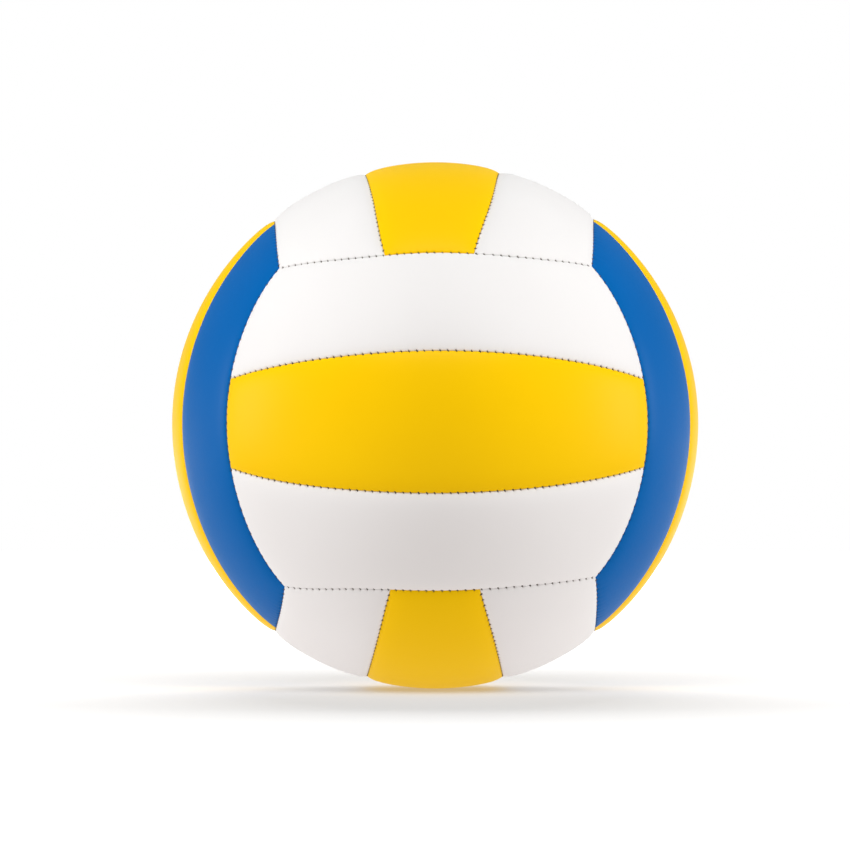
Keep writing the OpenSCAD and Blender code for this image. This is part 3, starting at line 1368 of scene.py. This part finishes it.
@dataclass
class LiningSheet(StripLayer):
    """The cloth that is glued to the back of the foam, inside the hem."""

    patch_step: int = 2
    patch_inset: float = 7 * MM

    @property
    def side(self) -> float:
        """Distance of the cloth's edge from the seam."""
        return self.sizes.hem_w + self.sizes.glue_t

    @property
    def back(self) -> float:
        """Depth of the cloth's inner face."""
        return self.sizes.hem_top + self.sizes.lining_t

    def rows(self) -> list[Row]:
        """The cut edge of the cloth."""
        return [Row(self.side, self.sizes.hem_top), Row(self.side, self.back)]

    def patches(self) -> tuple[Row, Row]:
        """The glued face and the inner face of the cloth."""
        return Row(self.patch_inset, self.sizes.hem_top), Row(self.patch_inset, self.back)

    def flat_size(self) -> tuple[float, float]:
        """The rectangle that the cloth was cut from.

        Returns:
            Its width and its length in metres.
        """
        places = self.outline.patch(self.side, self.counts()) * (self.crown_r - self.sizes.hem_top)
        widths = np.linalg.norm(np.diff(places, axis=0), axis=2).sum(axis=0)
        lengths = np.linalg.norm(np.diff(places, axis=1), axis=2).sum(axis=1)
        return float(widths.max()), float(lengths.max())


LAYER_KINDS: dict[Layer, type[StripLayer]] = {
    Layer.PANEL: LeatherSkin,
    Layer.FOAM: FoamPad,
    Layer.LINING: LiningSheet,
}


@dataclass
class Cover:
    """The 18 padded panels of the cover: leather outside, then foam, then lining cloth."""

    pattern: Pattern
    stitching: Stitching
    sizes: CoverSizes
    sewer: HandOfTheSewer
    finishes: dict[str, bpy.types.Material]

    def build(self) -> None:
        """Builds each kind of layer once, and lays a settled copy of it in every strip."""
        for layer in Layer:
            for strip in Strip:
                self._build_kind(layer, strip, has_valve_hole=False)
            self._build_kind(layer, Strip.MIDDLE, has_valve_hole=True)

    def _build_kind(self, layer: Layer, strip: Strip, has_valve_hole: bool) -> None:
        """Builds one kind of layer and lays it in the strips that need it.

        Args:
            layer: Which layer.
            strip: Which kind of strip.
            has_valve_hole: Whether the valve comes through it.
        """
        outline = Outline(self.pattern, self.stitching, strip)
        kind = LAYER_KINDS[layer](outline, self.sizes, has_valve_hole)
        plain = kind.build(f"{strip.value}_{layer.value}_kind")
        settled, shade = kind.settle(points_of(plain.data))
        indexes = (MIDDLE_STRIP,) if strip is Strip.MIDDLE else (LOW_STRIP, HIGH_STRIP)
        for face in FACES:
            for index in indexes:
                if has_valve_hole == face.is_valve_strip(index):
                    made = self._lay(face, index, layer, plain.data, settled)
                    self._dress(made, face, index, kind, shade)
        bpy.data.objects.remove(plain)

    def _lay(
        self, face: Face, index: int, layer: Layer, mesh: bpy.types.Mesh, points: np.ndarray
    ) -> bpy.types.Object:
        """Makes one layer from its kind's mesh, and turns it to its place on the ball.

        Args:
            face: The face of the ball.
            index: The strip's number on the face.
            layer: Which layer.
            mesh: The mesh of its kind.
            points: The settled vertices of its kind.

        Returns:
            The layer, which replaces its node.
        """
        node = face.node(index, layer)
        made = bpy.data.objects.new(f"{node}_{LAYER_WORDS[layer]}", mesh.copy())
        bpy.context.scene.collection.objects.link(made)
        set_points(made.data, self.sewer.moved(points @ face.matrix(index).T))
        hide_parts(node)
        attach(made, BODY)
        return made

    def _dress(
        self, made: bpy.types.Object, face: Face, index: int, kind: StripLayer, shade: np.ndarray
    ) -> None:
        """Gives a layer its finish.

        Args:
            made: The layer.
            face: The face of the ball.
            index: The strip's number on the face.
            kind: The layer's kind.
            shade: How far each vertex is inside a stitch hole.
        """
        if isinstance(kind, LiningSheet):
            slot = "lining_cloth"
            foam = f"{face.node(index, Layer.FOAM)}_{LAYER_WORDS[Layer.FOAM]}"
            kind.flat_size()
        elif isinstance(kind, FoamPad):
            slot = "sponge_foam"
        else:
            slot = "yellow_leather" if index == MIDDLE_STRIP else face.side_slot
            # The stitch-hole mask carries the painted shade of the leather's holes.
            hole = made.data.attributes.new(LeatherSkin.SHADE_NAME, "FLOAT", "POINT")
            hole.data.foreach_set("value", shade.astype(np.float32))
        made.data.materials.append(self.finishes[slot])
        LOG.info("%s: %d faces, %s", made.name, len(made.data.polygons), slot)


@dataclass
class Stitches:
    """The short runs of thread that cross every seam, one at each stitch."""

    pattern: Pattern
    stitching: Stitching
    sewer: HandOfTheSewer
    finish: bpy.types.Material
    sides_round: int = 6
    bends: int = 3
    arch: float = 0.28 * MM

    def build(self) -> None:
        """Builds one piece for the seams inside the faces and one for the seams between faces."""
        edge = self.pattern.long_edge()
        other_edge = Seam(HALF_TURN @ edge.axis, HALF_TURN @ edge.middle, edge.cone, edge.ball_r)
        strip_seams = [self.pattern.strip_seam(sign) for sign in (-1, 1)]
        self._piece("strip_seam_stitches", "strip_seam_threads", strip_seams)
        self._piece("face_seam_stitches", "face_seam_threads", [edge, other_edge])

    def _rung(self, bm: bmesh.types.BMesh) -> None:
        """Makes one run of thread along X, arched towards +Z, with its middle at the origin.

        Args:
            bm: An empty mesh, which takes it.
        """
        thread_d, half_run = self.stitching.thread_d, self.stitching.thread_run / 2
        made = bmesh.ops.create_cone(
            bm, cap_ends=True, segments=self.sides_round, radius1=thread_d / 2, radius2=thread_d / 2,
            depth=self.stitching.thread_run,
        )["verts"]
        turn = Euler((0, math.pi / 2, 0)).to_matrix()
        bmesh.ops.rotate(bm, verts=made, cent=(0, 0, 0), matrix=turn)
        long_edges = [e for e in bm.edges if abs(e.verts[0].co.x - e.verts[1].co.x) > thread_d]
        bmesh.ops.subdivide_edges(bm, edges=long_edges, cuts=self.bends)
        for vertex in bm.verts:
            vertex.co.z -= self.arch * (vertex.co.x / half_run) ** 2

    def _piece(self, name: str, node: str, seams: list[Seam]) -> None:
        """Lays a run of thread at every stitch of these seams on all faces, as one piece.

        Args:
            name: The piece's name.
            node: The node that it replaces.
            seams: The seams as they lie on the +Z face.
        """
        rung = bmesh.new()
        self._rung(rung)
        pattern_mesh = bpy.data.meshes.new(f"{name}_rung")
        rung.to_mesh(pattern_mesh)
        rung.free()
        shape = points_of(pattern_mesh)
        bm = bmesh.new()
        placed: list[np.ndarray] = []
        radius = self.pattern.ball_r - self.stitching.thread_depth
        for face in FACES:
            turn = face.matrix(MIDDLE_STRIP)
            for seam in seams:
                places = self.stitching.places(self.pattern.half_length(seam))
                directions = seam.at(places, 0.0)
                away = seam.away(directions)
                forward = np.cross(directions, away)
                for up, out, ahead in zip(directions, away, forward):
                    bm.from_mesh(pattern_mesh)
                    run = out + self.stitching.slant * ahead
                    run /= np.linalg.norm(run)
                    axes = np.array((run, np.cross(up, run), up))
                    placed.append((shape @ axes + up * radius) @ turn.T)
        bpy.data.meshes.remove(pattern_mesh)
        made = mesh_object(name, bm)
        set_points(made.data, self.sewer.moved(np.concatenate(placed)))
        made.data.materials.append(self.finish)
        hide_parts(node)
        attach(made, BODY)
        LOG.info("%s: %d stitches", name, len(placed))


# The studio


class Lit(Enum):
    """What a lamp lights, as the state of the floor in its list of receivers."""

    FLOOR = "INCLUDE"
    BALL = "EXCLUDE"


@dataclass(frozen=True)
class Softbox:
    """A flat soft lamp that faces the ball.

    Its level is the light that it sends to the ball, where 1 shows a colour as it is written.
    """

    name: str
    azimuth: float
    elevation: float
    size: tuple[float, float]
    level: float
    distance: float = 1.6
    seen_in_shine: bool = True
    lit: Lit = Lit.BALL

    def build(self, floor: bpy.types.Object) -> None:
        """Hangs the lamp, with its azimuth from the front towards +X.

        Args:
            floor: The floor, which a lamp either lights alone or leaves out.
        """
        data = bpy.data.lights.new(self.name, "AREA")
        data.shape = "RECTANGLE"
        data.size, data.size_y = self.size
        data.energy = self.level * (math.pi * self.distance) ** 2
        lamp = bpy.data.objects.new(self.name, data)
        towards = direction(math.radians(self.azimuth), math.radians(self.elevation))
        lamp.location = towards * self.distance
        lamp.rotation_mode = "QUATERNION"
        lamp.rotation_quaternion = towards.to_track_quat("Z", "Y")
        lamp.visible_glossy = self.seen_in_shine
        bpy.context.scene.collection.objects.link(lamp)
        receivers = bpy.data.collections.new(f"{self.name}_receivers")
        receivers.objects.link(floor)
        receivers.collection_objects[0].light_linking.link_state = self.lit.value
        lamp.light_linking.receiver_collection = receivers


def direction(azimuth: float, elevation: float) -> Vector:
    """Unit vector at an azimuth from -Y towards +X, and an elevation."""
    flat = math.cos(elevation)
    return Vector((math.sin(azimuth) * flat, -math.cos(azimuth) * flat, math.sin(elevation)))


@dataclass
class Studio:
    """The pale floor, the soft lamps and the camera.

    Three lamps round the ball and one behind it light the ball alone. Two far lamps light the floor
    alone, from behind and from in front, so that the ball's soft shadow lies on both sides of its foot.
    """

    ball_r: float
    softboxes: tuple[Softbox, ...] = (
        Softbox(name="top_softbox", azimuth=0, elevation=58, size=(1.2, 0.8), level=0.65),
        Softbox(name="left_softbox", azimuth=-87, elevation=6, size=(0.4, 0.8), level=0.51),
        Softbox(name="right_softbox", azimuth=87, elevation=6, size=(0.4, 0.8), level=0.485),
        Softbox(
            name="back_softbox", azimuth=180, elevation=30, size=(0.6, 0.5), level=0.31,
            seen_in_shine=False,
        ),
        Softbox(
            name="floor_back_softbox", azimuth=180, elevation=28.4, size=(2.66, 3.5), level=1.95,
            distance=4.0, seen_in_shine=False, lit=Lit.FLOOR,
        ),
        Softbox(
            name="floor_front_softbox", azimuth=0, elevation=42.5, size=(3.6, 3.27), level=1.21,
            distance=4.0, seen_in_shine=False, lit=Lit.FLOOR,
        ),
    )
    image_px: int = 850
    centre_px: tuple[float, float] = (435.2, 425.7)
    ball_radius_px: float = 263.2
    distance_share: float = 20.5
    azimuth: float = math.radians(-0.81)
    elevation: float = math.radians(-0.82)
    sensor: float = 36.0
    room_light: float = 0.28
    ceiling_from: float = 0.02
    ceiling_to: float = 0.2
    floor_size: float = 12.0
    floor_light: float = 0.88
    near_white: float = 0.2
    far_white: float = 0.9
    near_reach: float = 0.25
    far_reach: float = 1.2
    white: str = "#FFFFFF"
    sheet_colour: str = "#BDBCBB"
    glow_colour: str = "#FFF9F7"

    def build(self) -> None:
        """Sets the view, the world, the floor, the lamps and the camera."""
        scene = bpy.context.scene
        scene.view_settings.view_transform = "Standard"
        self._world(scene)
        floor = self._floor()
        for softbox in self.softboxes:
            softbox.build(floor)
        self._camera(scene)

    def _world(self, scene: bpy.types.Scene) -> None:
        """Lights the ball softly, and shows white walls under a dimmer ceiling.

        Args:
            scene: The scene that takes the world.
        """
        world = bpy.data.worlds.new("pale_room")
        scene.world = world
        world.use_nodes = True
        tree = world.node_tree
        tree.nodes.clear()
        towards = add_node(tree, "ShaderNodeTexCoord").outputs["Generated"]
        height = add_node(tree, "ShaderNodeSeparateXYZ", {"Vector": towards}).outputs["Z"]
        wall = add_node(
            tree, "ShaderNodeMapRange",
            {
                "Value": height, "From Min": self.ceiling_from, "From Max": self.ceiling_to,
                "To Min": 1.0, "To Max": 0.0,
            },
        )
        from_camera, mirrored = ray_kinds(tree)
        shown = add_node(
            tree, "ShaderNodeMath", {0: mirrored, 1: wall.outputs["Result"], 2: from_camera},
            operation="MULTIPLY_ADD", use_clamp=True,
        )
        level = add_node(
            tree, "ShaderNodeMapRange",
            {"Value": shown.outputs[0], "To Min": self.room_light, "To Max": 1.0},
        )
        light = add_node(
            tree, "ShaderNodeBackground",
            {"Color": linear_rgba(self.white), "Strength": level.outputs["Result"]},
        )
        add_node(tree, "ShaderNodeOutputWorld", {"Surface": light.outputs[0]})

    def _floor(self) -> bpy.types.Object:
        """Lays the pale floor that the ball stands on.

        Returns:
            The floor.
        """
        bm = bmesh.new()
        bmesh.ops.create_grid(bm, x_segments=1, y_segments=1, size=self.floor_size / 2)
        bmesh.ops.translate(bm, verts=bm.verts, vec=(0, 0, -self.ball_r))
        floor = mesh_object("studio_floor", bm)
        if floor.data.polygons[0].normal.z < 0:
            floor.data.flip_normals()
        floor.data.materials.append(self._paper())
        return floor

    def _paper(self) -> bpy.types.Material:
        """Opal acrylic sheet, matt and lit a little from below.

        The eye and a mirror get a white floor that shows only the ball's shadow. As a source of light
        for the ball the floor is an even pale lamp, so that the ball has no dark underside.

        Returns:
            The floor's material.
        """
        material, tree, output = empty_material("opal_floor_sheet")
        place = add_node(tree, "ShaderNodeTexCoord").outputs["Object"]
        reach = add_node(tree, "ShaderNodeVectorMath", {0: place}, operation="LENGTH")
        white = add_node(
            tree, "ShaderNodeMapRange",
            {
                "Value": reach.outputs["Value"], "From Min": self.near_reach, "From Max": self.far_reach,
                "To Min": self.near_white, "To Max": self.far_white,
            },
        )
        from_camera, mirrored = ray_kinds(tree)
        seen = add_node(tree, "ShaderNodeMath", {0: mirrored, 1: from_camera}, operation="ADD")
        sheet = add_node(tree, "ShaderNodeBsdfDiffuse", {"Color": linear_rgba(self.sheet_colour)})
        pale = add_node(tree, "ShaderNodeEmission", {"Strength": white.outputs["Result"]})
        shown = add_node(tree, "ShaderNodeAddShader", {0: sheet.outputs[0], 1: pale.outputs[0]})
        glow = add_node(
            tree, "ShaderNodeEmission",
            {"Color": linear_rgba(self.glow_colour), "Strength": self.floor_light},
        )
        both = add_node(
            tree, "ShaderNodeMixShader",
            {0: seen.outputs[0], 1: glow.outputs[0], 2: shown.outputs[0]},
        )
        tree.links.new(both.outputs[0], output.inputs["Surface"])
        return material

    def _camera(self, scene: bpy.types.Scene) -> None:
        """Sets the camera where the photograph was taken from.

        Args:
            scene: The scene that takes the camera.
        """
        data = bpy.data.cameras.new("photo_camera")
        focal_px = self.ball_radius_px * math.sqrt(self.distance_share**2 - 1)
        data.sensor_width = self.sensor
        data.lens = focal_px / self.image_px * self.sensor
        data.shift_x = 0.5 - self.centre_px[0] / self.image_px
        data.shift_y = self.centre_px[1] / self.image_px - 0.5
        camera = bpy.data.objects.new("photo_camera", data)
        back = direction(self.azimuth, self.elevation)
        camera.location = back * self.distance_share * self.ball_r
        camera.rotation_mode = "QUATERNION"
        camera.rotation_quaternion = back.to_track_quat("Z", "Y")
        scene.collection.objects.link(camera)
        scene.camera = camera


# The whole ball


def dress_inner_parts(finishes: dict[str, bpy.types.Material]) -> None:
    """Gives the bladder and the valve of the model their finishes.

    Args:
        finishes: The material of each slot.
    """
    slots = {
        "bladder": "bladder_rubber",
        "valve_body": "valve_rubber",
        "valve_core": "core_rubber",
        "valve_patch": "lining_cloth",
    }
    for node, slot in slots.items():
        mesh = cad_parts[node].data
        mesh.materials.clear()
        mesh.materials.append(finishes[slot])
        LOG.info("%s: %s", node, slot)


def all_finishes() -> dict[str, bpy.types.Material]:
    """Makes every finish of the ball.

    Returns:
        The material of each slot.
    """
    finishes = (
        # Each hole colour is painted shade: a darker tone of its leather for the inside of its stitch
        # holes.
        SeamedLeather(name="white_leather", colour="#F1F0EF", colour_low="#EEECEB", hole_shade_colour="#85776B"),
        SeamedLeather(name="yellow_leather", colour="#FFCE00", colour_low="#FCC900", hole_shade_colour="#80600E"),
        SeamedLeather(name="blue_leather", colour="#0064B0", colour_low="#005FAA", hole_shade_colour="#061D38"),
        SewingThread(),
        Sponge(),
        LiningWeave(),
        MouldedRubber(name="bladder_rubber", colour="#2B2B2C", colour_low="#232324", roughness=0.6),
        MouldedRubber(name="valve_rubber", colour="#1D1D1E", colour_low="#161617", roughness=0.45),
        MouldedRubber(name="core_rubber", colour="#B8382A", colour_low="#A52F23", roughness=0.6),
    )
    return {finish.name: finish.material() for finish in finishes}


def main() -> None:
    """Builds the ball's sub-assemblies in order and reports each piece."""
    logging.basicConfig(level=logging.INFO, format="%(name)s: %(message)s")
    Studio(BALL_R).build()
    pattern, stitching, sizes, sewer = Pattern(BALL_R), Stitching(), CoverSizes(), HandOfTheSewer()
    finishes = all_finishes()
    Cover(pattern, stitching, sizes, sewer, finishes).build()
    Stitches(pattern, stitching, sewer, finishes["sewing_thread"]).build()
    dress_inner_parts(finishes)


if __name__ == "__main__":
    main()
